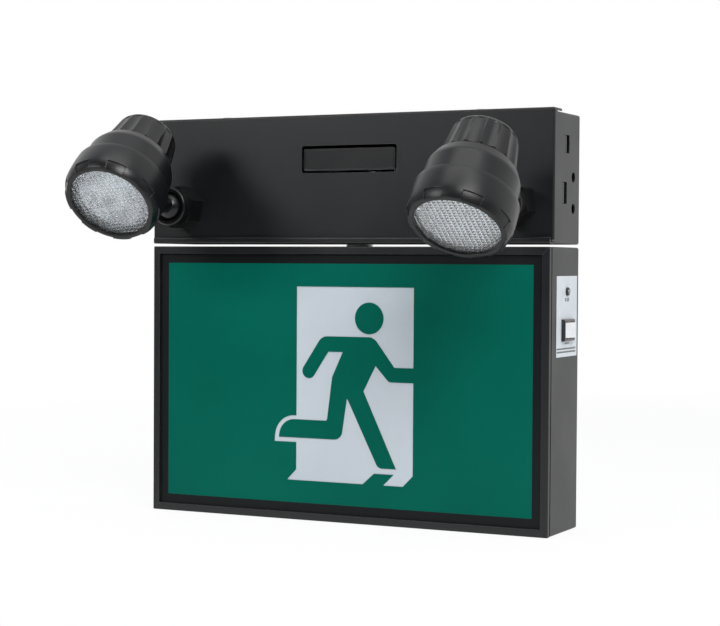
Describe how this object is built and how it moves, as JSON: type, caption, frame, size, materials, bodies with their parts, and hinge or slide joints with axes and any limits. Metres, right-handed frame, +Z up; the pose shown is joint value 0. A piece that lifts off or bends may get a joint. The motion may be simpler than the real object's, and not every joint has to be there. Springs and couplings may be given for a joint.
{
  "type": "emergency exit sign with two lamp heads",
  "caption": "Black steel emergency exit light: green running-man sign under a battery box with two adjustable round lamp heads, a side test rocker and a rear wire entry.",
  "frame": {"origin": "centre of the wire entry in the battery box's back, on the wall plane", "axes": "+X along the wall to the right as seen from the front, +Y into the wall, +Z up; the front faces -Y"},
  "size_m": [0.3303, 0.1801, 0.2905],
  "materials": {
    "powder_coat": "black fine-texture powder coat",
    "lamp_plastic": "satin black moulded plastic",
    "nameplate": "satin black",
    "zinc": "zinc plated",
    "battery_case": "dark grey moulded case",
    "board": "green solder mask with parts",
    "nylon": "natural nylon",
    "core": "varnished laminations and coil",
    "bushing": "black nylon",
    "mask": "matt black film",
    "green_film": "semi-gloss green film",
    "acrylic": "white diffusing acrylic",
    "tray_white": "white reflecting paint",
    "strip": "white board with LEDs",
    "label": "white printed label",
    "indicator": "unlit indicator",
    "switch": "black",
    "rocker": "white",
    "lens": "clear prismatic",
    "rubber": "black",
    "reflector": "vacuum-metallised",
    "led": "LED on a white board",
    "sink": "plain"
  },
  "bodies": {
    "housing": {"battery_box": "powder_coat", "battery_cover": "powder_coat", "cover_screws": "zinc", "nameplate": "nameplate", "battery": "battery_case", "battery_bracket": "zinc", "bracket_nut": "zinc", "charger_board": "board", "board_standoffs": "nylon", "transformer": "core", "terminal_block": "nylon", "entry_bushing": "bushing", "join_nipple": "zinc", "join_locknuts": "zinc", "sign_box": "powder_coat", "face_frame": "powder_coat", "legend_border": "mask", "legend_green": "green_film", "diffuser_panel": "acrylic", "light_tray": "tray_white", "led_strip_top": "strip", "led_strip_bottom": "strip", "driver_board": "board", "side_label": "label", "indicator_holder": "switch", "indicator_led": "indicator", "switch_body": "switch", "left_lamp_base": "lamp_plastic", "left_base_locknut": "zinc", "left_clamp_ring": "lamp_plastic", "right_lamp_base": "lamp_plastic", "right_base_locknut": "zinc", "right_clamp_ring": "lamp_plastic"},
    "left_swivel": {"left_ball_seat": "nylon"},
    "left_lamp": {"left_ball_stem": "lamp_plastic", "left_lamp_body": "lamp_plastic", "left_rear_cap": "lamp_plastic", "left_bezel": "lamp_plastic", "left_lens": "lens", "left_lens_gasket": "rubber", "left_reflector": "reflector", "left_led_board": "led", "left_heat_sink": "sink"},
    "right_swivel": {"right_ball_seat": "nylon"},
    "right_lamp": {"right_ball_stem": "lamp_plastic", "right_lamp_body": "lamp_plastic", "right_rear_cap": "lamp_plastic", "right_bezel": "lamp_plastic", "right_lens": "lens", "right_lens_gasket": "rubber", "right_reflector": "reflector", "right_led_board": "led", "right_heat_sink": "sink"},
    "rocker": {"test_rocker": "rocker"}
  },
  "joints": [
    {"name": "left_turn", "type": "hinge", "parent": "housing", "child": "left_swivel", "pos_m": [-0.1295, -0.0758, -0.0185], "axis": [0, 1, 0], "range_deg": [-169, 181]},
    {"name": "left_tilt", "type": "hinge", "parent": "left_swivel", "child": "left_lamp", "pos_m": [-0.1295, -0.0758, -0.0185], "axis": [0.9945, 0, 0.1045], "range_deg": [-28.6, 41.4]},
    {"name": "right_turn", "type": "hinge", "parent": "housing", "child": "right_swivel", "pos_m": [0.1295, -0.0758, -0.0185], "axis": [0, 1, 0], "range_deg": [-176.2, 173.8]},
    {"name": "right_tilt", "type": "hinge", "parent": "right_swivel", "child": "right_lamp", "pos_m": [0.1295, -0.0758, -0.0185], "axis": [0.9998, 0, -0.0209], "range_deg": [-41.2, 28.8]},
    {"name": "test_press", "type": "hinge", "parent": "housing", "child": "rocker", "pos_m": [0.1563, -0.0244, -0.1035], "axis": [0, 0, 1], "range_deg": [0, 12], "stiffness_Nm_per_rad": 0.03, "springref_deg": -17.19}
  ]
}
